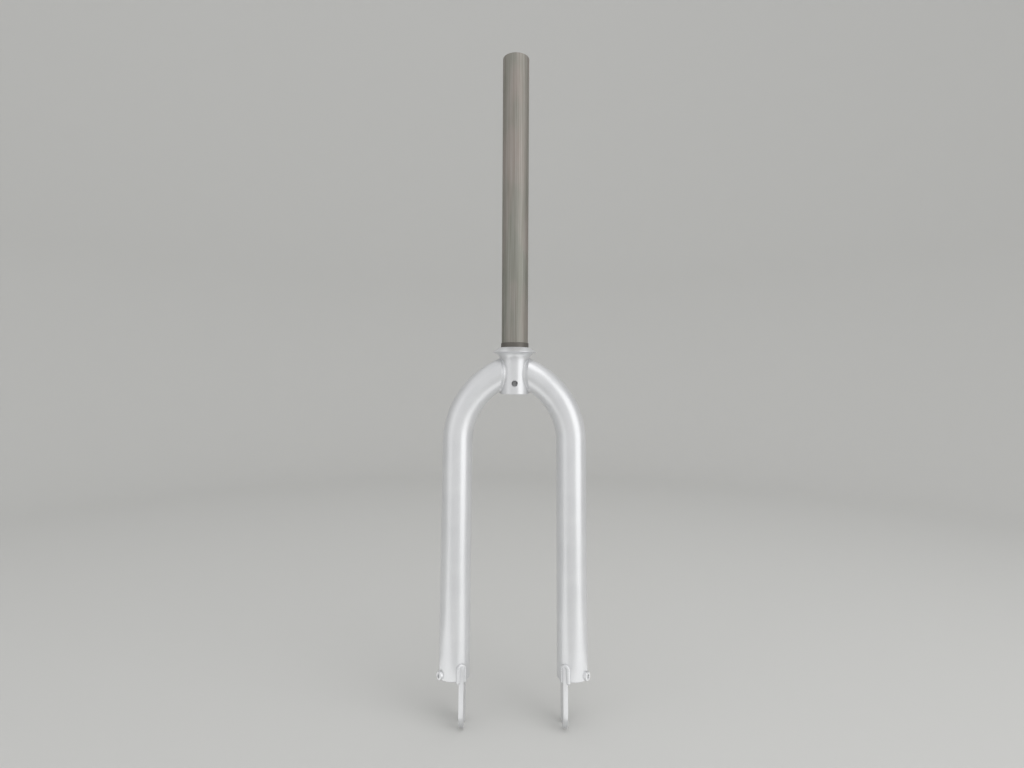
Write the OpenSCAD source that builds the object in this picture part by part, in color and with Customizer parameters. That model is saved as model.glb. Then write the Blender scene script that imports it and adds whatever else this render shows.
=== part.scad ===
// Bicycle fork whose crown is made by its own bent blades, welded to a plain threadless steerer.
// The origin is on the steerer axis at the shoulder that the lower bearing race sits on.
// +Z runs up the steerer, the front faces -Y, and the two blades stand at -X and +X.
// The blades lean forward in one plane, and that lean gives the fork its rake.

/* [Steerer] */
// Outside diameter of the steerer tube
steerer_d = 28.6; // [25.4:0.1:30]
// Height of the cut top end above the race shoulder
steerer_rise = 314; // [150:1:360]
// Length of steerer left below the blades
steerer_below = 3.8; // [3:0.1:12]
// Diameter of the thicker crown end, below the shoulder
crown_d = 30.5; // [29.6:0.1:32]
// Diameter of the seat that the lower bearing race is pressed on
seat_d = 30; // [29.2:0.1:30.2]
// Height of the seat above its shoulder
seat_h = 5; // [3:0.5:8]
// Wall of the steerer over most of its length
steerer_wall = 1.6; // [1.2:0.1:2.1]
// Wall of the thicker lower end
butt_wall = 3.4; // [2.8:0.1:4.2]
// Length of the thicker lower end
butt_l = 90; // [60:1:140]
// Length of the taper where the thick wall thins
butt_taper_l = 25; // [10:1:40]
// Bevel on the cut rims of the steerer
steerer_bevel = 0.4; // [0.1:0.1:0.6]

/* [Crown race ring] */
// Width of the flat top of the ring, which the race rests on
shoulder_w = 1.2; // [0.8:0.1:2]
// Diameter of the sharp rim that shields the bearing
rim_d = 46.8; // [42:0.2:52]
// Drop from the shoulder to the upper edge of the rim
rim_drop = 4.8; // [3:0.1:6]
// Thickness of the rim at its edge
rim_t = 0.5; // [0.3:0.1:1]
// Depth of the lower end of the flared skirt below the shoulder
skirt_drop = 14; // [13:0.5:16]
// Wall of the skirt at its lower end
skirt_wall = 0.4; // [0.3:0.1:0.8]

/* [Blades] */
// Outside diameter of the blade tubes
blade_d = 31.8; // [28.6:0.1:33]
// Wall of the blade tubes
blade_wall = 1.8; // [1.2:0.1:2.4]
// Distance of a blade's axis outside the middle of its dropout plate
blade_offset = 8.5; // [6.5:0.1:10]
// Radius of the bend, at the middle of the tube
bend_r = 82; // [76:1:88]
// Depth below the race shoulder at which the top of a blade meets the steerer
blade_top_drop = 11.1; // [10.8:0.1:14]
// Forward lean of the plane that holds both blades
lean = 5.7; // [3:0.1:9]
// Depth of the blade ends below the shoulder, along the lean
blade_end_drop = 343.5; // [280:0.5:420]
// Radius on the closed end of a blade
blade_end_r = 2; // [1:0.1:4]

/* [Crown welds] */
// Radius of the shallow hollow that the blade end is cut to
mitre_r = 50; // [40:1:120]
// Gap between the steerer and the middle of that hollow
mitre_gap = 1.1; // [1:0.1:2]
// Half width of steerer left bare between the two welds
bare_half_w = 11; // [9:0.5:13]
// Reach of the weld along the blade
weld_reach = 1.6; // [1:0.1:2.5]
// Crown of the weld above a flat filling
weld_bulge = 1.6; // [0.3:0.1:2]

/* [Crown hole] */
// Diameter of the bolt hole in the front wall of the crown end
crown_hole_d = 6.6; // [6:0.1:8.2]
// Depth of the crown hole below the race shoulder
crown_hole_drop = 39; // [32:0.5:42]

/* [Dropouts] */
// Space between the two dropouts, where the hub goes
hub_w = 100; // [96:0.5:106]
// Thickness of a dropout plate
plate_t = 5; // [4:0.1:6]
// Width of a dropout plate from front to back
plate_w = 31; // [29:0.5:34]
// Depth of the axle below the shoulder, along the lean
axle_drop = 376.5; // [310:0.5:460]
// Width of the axle slot
slot_w = 9.5; // [8.5:0.1:10.5]
// Widening of the slot at its mouth, on each side
mouth_flare = 1.6; // [0.6:0.1:2.5]
// Length of plate that is let into the blade
tab_in = 16; // [12:0.5:20]
// Radius on the top corners of the plate
tab_corner_r = 4; // [2:0.5:6]
// Radius of the weld beads round a plate
plate_bead_r = 1.9; // [1.4:0.1:2.4]

/* [Mudguard bosses] */
// Outside diameter of a mudguard boss
boss_d = 9; // [8:0.1:10]
// Height of a boss above the blade
boss_h = 2.8; // [2:0.1:4]
// Diameter of the shank that passes through the blade wall
boss_shank_d = 6; // [5.4:0.1:6.2]
// Diameter of the hole that is tapped for an M5 screw
boss_hole_d = 4.2; // [4:0.1:4.4]
// Height of the boss axis above the blade end
boss_up = 5; // [5:0.5:14]
// Angle of the boss axis in front of straight outwards
boss_turn = 35; // [20:1:50]
// Bevel on the outer rim of a boss
boss_bevel = 0.6; // [0.2:0.1:1]

/* [Hidden] */
$fn = 96;

// Gap left all round where a piece is let into another
fit_gap = 0.1;
// Spare length on cutting bodies, so that they pass right through
over = 5;
// Stations round a crown weld
weld_stations = 48;
// Rounds that bring a point onto a cutting surface
meet_rounds = 5;

steerer_r = steerer_d / 2;
seat_r = seat_d / 2;
crown_r = crown_d / 2;
shoulder_r = crown_r + shoulder_w;
rim_r = rim_d / 2;
skirt_r = crown_r + skirt_wall;
// The underside of the ring is one hollow arc from the rim down to the foot of the skirt
flare_w = rim_r - skirt_r;
flare_h = skirt_drop - rim_drop - rim_t;
flare_r = (flare_w * flare_w + flare_h * flare_h) / (2 * flare_w);

blade_r = blade_d / 2;
plate_x = (hub_w + plate_t) / 2;
blade_x = plate_x + blade_offset;
bend_x = blade_x - bend_r;
// The bend is placed by the level at which the top of the tube meets the steerer
meet_x = crown_r - bend_x;
bend_z = -blade_top_drop - sqrt(pow(bend_r + blade_r, 2) - meet_x * meet_x);
steerer_drop = steerer_below - bend_z - sqrt(pow(bend_r - blade_r, 2) - meet_x * meet_x);
blade_end_z = -blade_end_drop;
// The blades lean about the level where their middle line meets the steerer
lean_z = bend_z + sqrt(bend_r * bend_r - meet_x * meet_x);
// The bend is made long enough for the cut at the steerer to trim it
bend_sweep = acos((crown_r / 3 - bend_x) / bend_r);

mitre_near = crown_r + mitre_gap;
mitre_x = mitre_near - mitre_r;
bare_half_y = sqrt(crown_r * crown_r - bare_half_w * bare_half_w);

axle_z = -axle_drop;
plate_r = plate_w / 2;
tab_top_z = blade_end_z + tab_in;
slot_in_w = plate_t + 2 * fit_gap;
// The plate leaves the blade to one side of its axis, where the tube slopes away
edge_depth = sqrt(blade_r * blade_r - blade_offset * blade_offset);
edge_slope = asin(-blade_offset / blade_r);
leg = (plate_t + plate_bead_r) / 2;
arch_z = tab_top_z - leg;
// The beads lie in the corner under the blade end, a little below its flat face
bead_z = blade_end_z - plate_bead_r / 4;
function leg_at(side) = [plate_x + side * leg * cos(edge_slope), side * leg * sin(edge_slope) - edge_depth];

boss_z = blade_end_z + boss_up;
boss_inside = 1;

bare_steel = [0.55, 0.52, 0.48];
silver_paint = [0.78, 0.79, 0.80];
weld_paint = [0.72, 0.73, 0.74];

// Puts what is drawn in the plane of the blades into the leaning plane
module leaning() {
    translate([0, 0, lean_z])
        rotate([-lean, 0, 0])
            translate([0, 0, -lean_z])
                children();
}

// The same lean for one point
function lean_point(p) = [
    p.x,
    p.y * cos(lean) + (p.z - lean_z) * sin(lean),
    lean_z - p.y * sin(lean) + (p.z - lean_z) * cos(lean)];

// Angle along the bend at which a line of the tube meets an upright cylinder.
// up and side are the line's offsets from the middle of the tube.
function meet_angle(up, side, cut_r, cut_x, rounds = meet_rounds, y = 0) =
    let (a = acos((cut_x + sqrt(cut_r * cut_r - y * y) - bend_x) / (bend_r + up)))
    rounds < 1 ? a : meet_angle(up, side, cut_r, cut_x, rounds - 1,
        side * cos(lean) + (bend_z + (bend_r + up) * sin(a) - lean_z) * sin(lean));

function meet(up, side, cut_r, cut_x) =
    let (a = meet_angle(up, side, cut_r, cut_x),
         reach = bend_r + up)
    lean_point([bend_x + reach * cos(a), side, bend_z + reach * sin(a)]);

module mirror_left(left) {
    mirror([left ? 1 : 0, 0, 0]) children();
}

// A bent rod along the middle of a blade, from a level up past the cut at the steerer
module blade_rod(r, from_z) {
    translate([blade_x, 0, bend_z])
        rotate([180, 0, 0])
            cylinder(r = r, h = bend_z - from_z);
    translate([bend_x, 0, bend_z])
        rotate([90, 0, 0])
            rotate_extrude(angle = bend_sweep)
                translate([bend_r, 0])
                    circle(r);
}

// The closed lower end of a blade, with its rounded edge
module blade_end(r, edge_r, h) {
    translate([blade_x, 0, 0])
        rotate_extrude() {
            square([r - edge_r, h]);
            translate([0, edge_r]) square([r, h - edge_r]);
            translate([r - edge_r, edge_r]) circle(edge_r);
        }
}

module blade_outside() {
    blade_rod(blade_r, blade_end_z + 2 * blade_end_r);
    translate([0, 0, blade_end_z])
        blade_end(blade_r, blade_end_r, 2 * blade_end_r);
}

module blade_tube() {
    leaning()
        difference() {
            blade_outside();
            blade_rod(blade_r - blade_wall, blade_end_z + blade_wall);
        }
}

// The body that hollows the end of a blade to sit round the steerer
module mitre_cutter() {
    translate([mitre_x, 0, -steerer_drop - over])
        cylinder(r = mitre_r, h = steerer_drop + 2 * over);
}

module boss_axis() {
    translate([blade_x, 0, boss_z])
        rotate([0, 90, -boss_turn])
            children();
}

// The slot through the front and back of a blade end that takes the plate
module plate_slot() {
    translate([plate_x - slot_in_w / 2, -blade_r - over, blade_end_z - over])
        cube([slot_in_w, blade_d + 2 * over, tab_in + over + fit_gap]);
}

module blade(left) {
    color(silver_paint)
        mirror_left(left)
            difference() {
                blade_tube();
                mitre_cutter();
                leaning() plate_slot();
                leaning() boss_axis() cylinder(d = boss_shank_d + 2 * fit_gap, h = blade_r + over);
            }
}

module steerer_tube() {
    bore_r = steerer_r - steerer_wall;
    low_r = crown_r - butt_wall;
    color(bare_steel)
        difference() {
            rotate_extrude()
                polygon([
                    [low_r, -steerer_drop],
                    [crown_r - steerer_bevel, -steerer_drop],
                    [crown_r, steerer_bevel - steerer_drop],
                    [crown_r, 0],
                    [seat_r, 0],
                    [seat_r, seat_h - steerer_bevel],
                    [seat_r - steerer_bevel, seat_h],
                    [steerer_r, seat_h],
                    [steerer_r, steerer_rise - steerer_bevel],
                    [steerer_r - steerer_bevel, steerer_rise],
                    [bore_r + steerer_bevel, steerer_rise],
                    [bore_r, steerer_rise - steerer_bevel],
                    [bore_r, butt_l + butt_taper_l - steerer_drop],
                    [low_r, butt_l - steerer_drop]]);
            translate([0, 0, -crown_hole_drop])
                rotate([90, 0, 0])
                    cylinder(d = crown_hole_d, h = crown_r + over);
        }
}

module ring_section() {
    difference() {
        polygon([
            [crown_r, -skirt_drop],
            [rim_r, -skirt_drop],
            [rim_r, -rim_drop],
            [shoulder_r, 0],
            [crown_r, 0]]);
        translate([skirt_r + flare_r, -skirt_drop])
            circle(flare_r);
    }
}

module crown_race_ring() {
    color(silver_paint)
        rotate_extrude()
            ring_section();
}

// One slice of a crown weld. Its face swells from the toe on the steerer to the toe on the
// blade, and its root lies inside both walls, which later trim it.
function weld_toe_steerer(f) =
    meet((blade_r + weld_reach) * sin(f), -bare_half_y * cos(f), crown_r - 0.05, 0);
function weld_toe_blade(f) =
    meet((blade_r - 0.05) * sin(f), -(blade_r - 0.05) * cos(f), mitre_r + weld_reach, mitre_x);
function weld_root_blade(f) =
    let (r = blade_r - blade_wall / 2)
    meet(r * sin(f), -r * cos(f), mitre_r + weld_reach / 2, mitre_x);
function weld_root_steerer(f) =
    meet((blade_r - blade_wall / 2) * sin(f), -(bare_half_y - weld_reach) * cos(f), crown_r - 1, 0);

function unit(v) = v / norm(v);

function weld_slice(f) =
    let (a = weld_toe_steerer(f),
         b = weld_toe_blade(f),
         step = 180 / weld_stations,
         along = weld_toe_steerer(f + step) + weld_toe_blade(f + step)
                 - weld_toe_steerer(f - step) - weld_toe_blade(f - step),
         out = unit(cross(b - a, along)))
    [a,
     for (t = [1 / 3, 2 / 3]) a + t * (b - a) + 4 * t * (1 - t) * weld_bulge * out,
     b,
     weld_root_blade(f),
     weld_root_steerer(f)];

module weld_ring() {
    slices = [for (i = [0 : weld_stations - 1]) weld_slice(360 * i / weld_stations)];
    n = len(slices[0]);
    polyhedron(
        points = [for (s = slices) each s],
        faces = [
            for (i = [0 : weld_stations - 1])
                let (p = i * n, q = ((i + 1) % weld_stations) * n)
                    for (j = [0 : n - 1])
                        let (k = (j + 1) % n)
                            each [[p + j, p + k, q + k], [p + j, q + k, q + j]]]);
}

module crown_weld(left) {
    $fn = 256;
    color(weld_paint)
        mirror_left(left)
            difference() {
                weld_ring();
                translate([0, 0, -steerer_drop - over])
                    cylinder(r = crown_r, h = steerer_drop + 2 * over);
                difference() {
                    blade_tube();
                    mitre_cutter();
                }
                rotate_extrude() ring_section();
            }
}

// The outline of a dropout, with the axle at its origin and the blade above it
module plate_outline() {
    top = tab_top_z - axle_z;
    difference() {
        union() {
            circle(plate_r);
            translate([-plate_r, 0]) square([plate_w, top - tab_corner_r]);
            translate([tab_corner_r - plate_r, 0]) square([plate_w - 2 * tab_corner_r, top]);
            for (s = [-1, 1])
                translate([s * (plate_r - tab_corner_r), top - tab_corner_r])
                    circle(tab_corner_r);
        }
        circle(slot_w / 2);
        translate([-slot_w / 2, -plate_r - over]) square([slot_w, plate_r + over]);
        polygon([
            [-slot_w / 2 - mouth_flare - over, -plate_r - over],
            [slot_w / 2 + mouth_flare + over, -plate_r - over],
            [slot_w / 2, 2 * mouth_flare - plate_r],
            [-slot_w / 2, 2 * mouth_flare - plate_r]]);
    }
}

module plate() {
    translate([plate_x, 0, axle_z])
        rotate([90, 0, 90])
            translate([0, 0, -plate_t / 2])
                linear_extrude(plate_t)
                    plate_outline();
}

module dropout(left) {
    color(silver_paint)
        mirror_left(left)
            leaning() plate();
}

// The weld over the front edge of a plate: two legs and an arch, lying on the slope of the blade
module plate_arch() {
    for (s = [-1, 1])
        translate([leg_at(s).x, leg_at(s).y, bead_z]) {
            cylinder(r = plate_bead_r, h = arch_z - bead_z);
            sphere(plate_bead_r);
        }
    translate([plate_x, -edge_depth, arch_z])
        rotate([90, 0, edge_slope])
            rotate_extrude(angle = 180)
                translate([leg, 0])
                    circle(plate_bead_r);
}

// The beads that run from front to back where the plate leaves the closed end of the blade
module plate_under_beads() {
    for (s = [-1, 1])
        translate([leg_at(s).x, -leg_at(s).y, bead_z])
            rotate([90, 0, 0])
                cylinder(r = plate_bead_r, h = -2 * leg_at(s).y);
}

module dropout_weld(left) {
    color(weld_paint)
        mirror_left(left)
            leaning()
                difference() {
                    difference() {
                        union() {
                            plate_arch();
                            mirror([0, 1, 0]) plate_arch();
                            plate_under_beads();
                        }
                        plate();
                    }
                    blade_outside();
                }
}

module mudguard_boss(left) {
    color(silver_paint)
        mirror_left(left)
            leaning()
                difference() {
                    union() {
                        difference() {
                            boss_axis() {
                                translate([0, 0, blade_r / 2])
                                    cylinder(d = boss_d, h = blade_r / 2 + boss_h - boss_bevel);
                                translate([0, 0, blade_r + boss_h - boss_bevel])
                                    cylinder(d1 = boss_d, d2 = boss_d - 2 * boss_bevel, h = boss_bevel);
                            }
                            blade_outside();
                        }
                        boss_axis()
                            translate([0, 0, blade_r - blade_wall - boss_inside])
                                cylinder(d = boss_shank_d, h = blade_wall + boss_inside + boss_h / 2);
                    }
                    boss_axis() cylinder(d = boss_hole_d, h = blade_r + boss_h + over);
                }
}

steerer_tube();
crown_race_ring();
blade(true);  // blade_left
blade(false);  // blade_right
crown_weld(true);  // crown_weld_left
crown_weld(false);  // crown_weld_right
dropout(true);  // dropout_left
dropout(false);  // dropout_right
dropout_weld(true);  // dropout_weld_left
dropout_weld(false);  // dropout_weld_right
mudguard_boss(true);  // mudguard_boss_left
mudguard_boss(false);  // mudguard_boss_right
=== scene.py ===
"""Bicycle fork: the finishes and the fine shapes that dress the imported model.

The bare steerer keeps its solid shape and gets its finish here. The crown race ring is turned
again and the blades are swept again with even rings, so that their highlights run true. The weld
beads, the dropouts and the mudguard bosses are made again with the detail that a welder, a press
and a tap leave: bead ripples, rolled-over edges and screw threads.
"""

import logging
import math
from dataclasses import dataclass, field
from enum import Enum
from typing import Any, Callable, Iterable
import bmesh
import bpy
from bpy.types import ID, Material, Node, NodeSocket, NodeTree, Object
from mathutils import Matrix, Vector


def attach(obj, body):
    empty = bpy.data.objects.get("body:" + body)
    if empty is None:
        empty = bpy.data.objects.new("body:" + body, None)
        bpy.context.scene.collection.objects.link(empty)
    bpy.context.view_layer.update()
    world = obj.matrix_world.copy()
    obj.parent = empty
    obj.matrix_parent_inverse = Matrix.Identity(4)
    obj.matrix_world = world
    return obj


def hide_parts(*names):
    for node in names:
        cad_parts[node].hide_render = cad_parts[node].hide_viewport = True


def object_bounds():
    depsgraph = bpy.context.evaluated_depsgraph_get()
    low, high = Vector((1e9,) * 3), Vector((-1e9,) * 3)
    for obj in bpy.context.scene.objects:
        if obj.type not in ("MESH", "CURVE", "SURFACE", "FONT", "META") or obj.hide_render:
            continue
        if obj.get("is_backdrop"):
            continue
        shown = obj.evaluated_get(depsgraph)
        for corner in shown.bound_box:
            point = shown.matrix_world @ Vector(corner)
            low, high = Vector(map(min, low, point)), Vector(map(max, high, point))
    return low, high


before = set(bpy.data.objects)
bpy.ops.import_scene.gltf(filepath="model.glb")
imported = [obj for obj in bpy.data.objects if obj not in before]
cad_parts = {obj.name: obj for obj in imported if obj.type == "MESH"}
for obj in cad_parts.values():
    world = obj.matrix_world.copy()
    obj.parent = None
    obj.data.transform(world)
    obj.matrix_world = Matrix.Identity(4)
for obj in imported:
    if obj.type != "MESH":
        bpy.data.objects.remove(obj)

log = logging.getLogger("fork")

MM = 0.001
BODY = "root"


class Side(Enum):
    """The two sides of the fork, with the sign of X on each."""

    LEFT = -1
    RIGHT = 1

    @property
    def word(self) -> str:
        """The side's name, as the nodes use it."""
        return self.name.lower()


def linear(hex_colour: str) -> tuple[float, float, float, float]:
    """Turns an sRGB hex colour into the linear values that a shader reads.

    Args:
        hex_colour: Six hexadecimal digits, with or without a leading #.

    Returns:
        Linear red, green, blue and an alpha of 1.
    """
    digits = hex_colour.lstrip("#")
    values = [int(digits[i:i + 2], 16) / 255 for i in (0, 2, 4)]
    red, green, blue = (v / 12.92 if v <= 0.04045 else ((v + 0.055) / 1.055) ** 2.4 for v in values)
    return red, green, blue, 1.0


def add(tree: NodeTree, kind: str, settings: dict[str, Any] | None = None,
        inputs: dict[Any, Any] | None = None) -> Node:
    """Adds one node with its settings, values and links.

    Args:
        tree: The node tree to add to.
        kind: The node's type name.
        settings: Properties of the node to set first.
        inputs: For each input's name or number, a value or the output socket to link to it.

    Returns:
        The new node.
    """
    node = tree.nodes.new(kind)
    for name, value in (settings or {}).items():
        setattr(node, name, value)
    for key, value in (inputs or {}).items():
        if isinstance(value, NodeSocket):
            tree.links.new(value, node.inputs[key])
        else:
            node.inputs[key].default_value = value
    return node


def math_node(tree: NodeTree, operation: str, *values: Any) -> NodeSocket:
    """Works out one sum on numbers or sockets, given in order, and gives the result's socket."""
    return add(tree, "ShaderNodeMath", {"operation": operation}, dict(enumerate(values))).outputs[0]


def link_object(name: str, data: ID) -> Object:
    """Makes an object and puts it in the scene.

    Args:
        name: The object's name.
        data: Its mesh, lamp or camera.

    Returns:
        The object.
    """
    made = bpy.data.objects.new(name, data)
    bpy.context.scene.collection.objects.link(made)
    return made


def make_piece(name: str, points: Iterable[Vector], faces: list[tuple[int, ...]],
               smooth: bool = True) -> Object:
    """Makes a piece whose faces all point outwards.

    Args:
        name: The name of the piece and its mesh.
        points: Corner points in metres.
        faces: Point numbers of each face.
        smooth: Whether the faces are shaded smooth.

    Returns:
        The piece.
    """
    mesh = bpy.data.meshes.new(name)
    mesh.from_pydata([tuple(p) for p in points], [], faces)
    work = bmesh.new()
    work.from_mesh(mesh)
    bmesh.ops.recalc_face_normals(work, faces=work.faces)
    work.to_mesh(mesh)
    work.free()
    mesh.shade_smooth() if smooth else mesh.shade_flat()
    return link_object(name, mesh)


def closed_rows(rows: int, width: int) -> list[tuple[int, ...]]:
    """Lists the faces between closed rows of points, where the last row joins the first.

    Args:
        rows: The number of rows.
        width: The number of points in each.

    Returns:
        The point numbers of each face.
    """
    faces: list[tuple[int, ...]] = []
    for i in range(rows):
        here, there = i * width, (i + 1) % rows * width
        faces += [(here + j, here + (j + 1) % width, there + (j + 1) % width, there + j)
                  for j in range(width)]
    return faces


# Finishes


@dataclass(frozen=True)
class Flecks:
    """Noise on Object coordinates, with its grain given as a real size."""

    size_mm: float
    detail: float = 2.0
    stretch: tuple[float, float, float] = (1.0, 1.0, 1.0)
    seed: float = 0.0

    def build(self, tree: NodeTree, place: NodeSocket) -> NodeSocket:
        """Adds the noise to a tree.

        Args:
            tree: The material's tree.
            place: Object coordinates.

        Returns:
            The noise value, about 0.5 on average.
        """
        mapping = add(tree, "ShaderNodeMapping", {}, {"Vector": place, "Scale": self.stretch})
        noise = add(tree, "ShaderNodeTexNoise", {"noise_dimensions": "4D"}, {
            "Vector": mapping.outputs[0], "W": self.seed,
            "Scale": 1 / (self.size_mm * MM), "Detail": self.detail})
        return noise.outputs["Fac"]


def spread(tree: NodeTree, value: NodeSocket, low: float, high: float,
           start: float = 0.3, end: float = 0.7) -> NodeSocket:
    """Stretches the range from start to end into the one from low to high, held at both ends."""
    return add(tree, "ShaderNodeMapRange", {"clamp": True}, {
        "Value": value, "From Min": start, "From Max": end, "To Min": low,
        "To Max": high}).outputs["Result"]


def mix_colour(tree: NodeTree, share: Any, first: Any, second: Any) -> NodeSocket:
    """Mixes two colours, given as hex strings or sockets; share is the second's, from 0 to 1."""
    first, second = (linear(c) if isinstance(c, str) else c for c in (first, second))
    return add(tree, "ShaderNodeMix", {"data_type": "RGBA"},
               {0: share, 6: first, 7: second}).outputs[2]


def mix_number(tree: NodeTree, share: Any, first: Any, second: Any) -> NodeSocket:
    """Mixes two numbers or sockets; share is the second's, from 0 to 1."""
    return add(tree, "ShaderNodeMix", {"data_type": "FLOAT"},
               {0: share, 2: first, 3: second}).outputs[0]


@dataclass(frozen=True)
class Surface:
    """What a finish gives its shader: colour, roughness, metal and relief in millimetres."""

    colour: Any
    roughness: Any
    metallic: Any
    relief_mm: Any


def make_material(name: str, fill: Callable[[NodeTree, NodeSocket], Surface]) -> Material:
    """Makes a material from a finish.

    Args:
        name: The material's name.
        fill: The finish's surface method, which adds its nodes on Object coordinates.

    Returns:
        The material.
    """
    material = bpy.data.materials.new(name)
    material.use_nodes = True
    tree = material.node_tree
    tree.nodes.clear()
    surface = fill(tree, add(tree, "ShaderNodeTexCoord").outputs["Object"])
    bump = add(tree, "ShaderNodeBump", {}, {
        "Strength": 1.0, "Distance": MM, "Height": surface.relief_mm})
    shader = add(tree, "ShaderNodeBsdfPrincipled", {}, {
        "Base Color": surface.colour, "Roughness": surface.roughness,
        "Metallic": surface.metallic, "Normal": bump.outputs[0]})
    add(tree, "ShaderNodeOutputMaterial", {}, {"Surface": shader.outputs[0]})
    return material


@dataclass(frozen=True)
class SilverLacquer:
    """Silver metallic lacquer, sprayed: aluminium flake in a clear, semi-gloss coat.

    The flake gives a soft broad highlight with a fine sparkle, and the coat a faint orange peel.
    """

    body: str = "#dadbdc"
    shade: str = "#d0d1d3"
    metallic: float = 0.5
    roughness: tuple[float, float] = (0.28, 0.35)
    # Flakes are about 0.03 mm across, drawn at 0.3 mm so that they show
    flake: Flecks = Flecks(0.3, 0.0, seed=3.0)
    flake_relief_mm: float = 0.0012
    peel: Flecks = Flecks(2.4, 1.0, seed=1.0)
    peel_relief_mm: float = 0.008
    cloud: Flecks = Flecks(28.0, 2.0, seed=7.0)
    tone_range: tuple[float, float] = (0.35, 0.65)

    def surface(self, tree: NodeTree, place: NodeSocket) -> Surface:
        """Adds the lacquer's nodes.

        Args:
            tree: The material's tree.
            place: Object coordinates.

        Returns:
            The lacquer's surface.
        """
        flake = self.flake.build(tree, place)
        cloud = self.cloud.build(tree, place)
        peel = self.peel.build(tree, place)
        tone = math_node(tree, "MULTIPLY_ADD", flake, 0.5, math_node(tree, "MULTIPLY", cloud, 0.5))
        relief = math_node(tree, "MULTIPLY_ADD", peel, self.peel_relief_mm,
                           math_node(tree, "MULTIPLY", flake, self.flake_relief_mm))
        return Surface(
            mix_colour(tree, spread(tree, tone, 0.0, 1.0, *self.tone_range), self.shade, self.body),
            spread(tree, cloud, *self.roughness), self.metallic, relief)


@dataclass(frozen=True)
class DrawnSteel:
    """Bare cold-drawn steel with a thin film of oil and oxide.

    Drawing leaves long fine streaks, the film tints it in patches between olive and brown, and
    the race seat and the cut end are turned, with fine rings.
    """

    olive: str = "#79796f"
    brown: str = "#8d847d"
    # The seat is darker than the drawn tube: partly its own bare turned steel, partly a painted
    # dark reflection
    seat: str = "#686560"
    cut_end: str = "#b9b8b5"
    metallic: float = 0.62
    roughness: tuple[float, float] = (0.46, 0.54)
    film: Flecks = Flecks(22.0, 3.0, (1.0, 1.0, 0.35), seed=5.0)
    film_range: tuple[float, float] = (0.38, 0.62)
    streak: Flecks = Flecks(0.9, 2.0, (1.0, 1.0, 0.012), seed=2.0)
    streak_share: float = 0.35
    streak_relief_mm: float = 0.006
    # A fine turning feed is about 0.1 mm, drawn at 0.5 mm so that it shows
    ring_feed_mm: float = 0.5
    ring_relief_mm: float = 0.01
    # The levels over which the turned seat and the cut end pass into the drawn tube
    seat_edge_mm: tuple[float, float] = (4.8, 5.4)
    top_edge_mm: tuple[float, float] = (313.5, 313.8)

    def surface(self, tree: NodeTree, place: NodeSocket) -> Surface:
        """Adds the steel's nodes.

        Args:
            tree: The material's tree.
            place: Object coordinates.

        Returns:
            The steel's surface.
        """
        film = self.film.build(tree, place)
        streak = self.streak.build(tree, place)
        height = add(tree, "ShaderNodeSeparateXYZ", {}, {0: place}).outputs[2]
        level = math_node(tree, "MULTIPLY", height, 1 / MM)
        on_seat = spread(tree, level, 1.0, 0.0, *self.seat_edge_mm)
        on_top = spread(tree, level, 0.0, 1.0, *self.top_edge_mm)
        turned = math_node(tree, "MAXIMUM", on_seat, on_top)
        ring = math_node(tree, "SINE", math_node(
            tree, "MULTIPLY", level, math.tau / self.ring_feed_mm))
        tint = spread(tree, film, 0.0, 1.0, *self.film_range)
        drawn = mix_colour(tree, tint, self.olive, self.brown)
        bright = spread(tree, streak, 0.0, self.streak_share)
        streaked = mix_colour(tree, bright, drawn, self.cut_end)
        # The seat's darker colour is partly a painted dark reflection
        seated = mix_colour(tree, on_seat, streaked, self.seat)
        relief = mix_number(
            tree, turned, math_node(tree, "MULTIPLY", streak, self.streak_relief_mm),
            math_node(tree, "MULTIPLY", ring, self.ring_relief_mm / 2))
        return Surface(mix_colour(tree, on_top, seated, self.cut_end),
                       spread(tree, film, *self.roughness), self.metallic, relief)


@dataclass(frozen=True)
class SteererFinish:
    """Bare steel above the crown race ring, and lacquer below it, outside and in the open end."""

    steel: DrawnSteel = DrawnSteel()
    lacquer: SilverLacquer = SilverLacquer()
    # The levels over which the paint fades out, outside and in the bore
    paint_edge_mm: tuple[float, float] = (-6.1, -6.0)
    bore_paint_edge_mm: tuple[float, float] = (-30.0, -22.0)
    # The radii over which the bore's side passes into the outside
    wall_r_mm: tuple[float, float] = (13.0, 13.4)

    def surface(self, tree: NodeTree, place: NodeSocket) -> Surface:
        """Adds the nodes of both finishes, divided under the ring.

        Args:
            tree: The material's tree.
            place: Object coordinates.

        Returns:
            The surface of both.
        """
        steel = self.steel.surface(tree, place)
        lacquer = self.lacquer.surface(tree, place)
        axes = add(tree, "ShaderNodeSeparateXYZ", {}, {0: place}).outputs
        radius = math_node(tree, "SQRT", math_node(
            tree, "MULTIPLY_ADD", axes[0], axes[0], math_node(tree, "MULTIPLY", axes[1], axes[1])))
        below, sprayed_in = (spread(tree, axes[2], 1.0, 0.0, low * MM, top * MM)
                             for low, top in (self.paint_edge_mm, self.bore_paint_edge_mm))
        outside = spread(tree, radius, 0.0, 1.0, *(r * MM for r in self.wall_r_mm))
        painted = math_node(
            tree, "MAXIMUM", math_node(tree, "MULTIPLY", below, outside), sprayed_in)
        return Surface(mix_colour(tree, painted, steel.colour, lacquer.colour),
                       mix_number(tree, painted, steel.roughness, lacquer.roughness),
                       mix_number(tree, painted, steel.metallic, lacquer.metallic),
                       mix_number(tree, painted, steel.relief_mm, lacquer.relief_mm))


# Geometry Nodes


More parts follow.
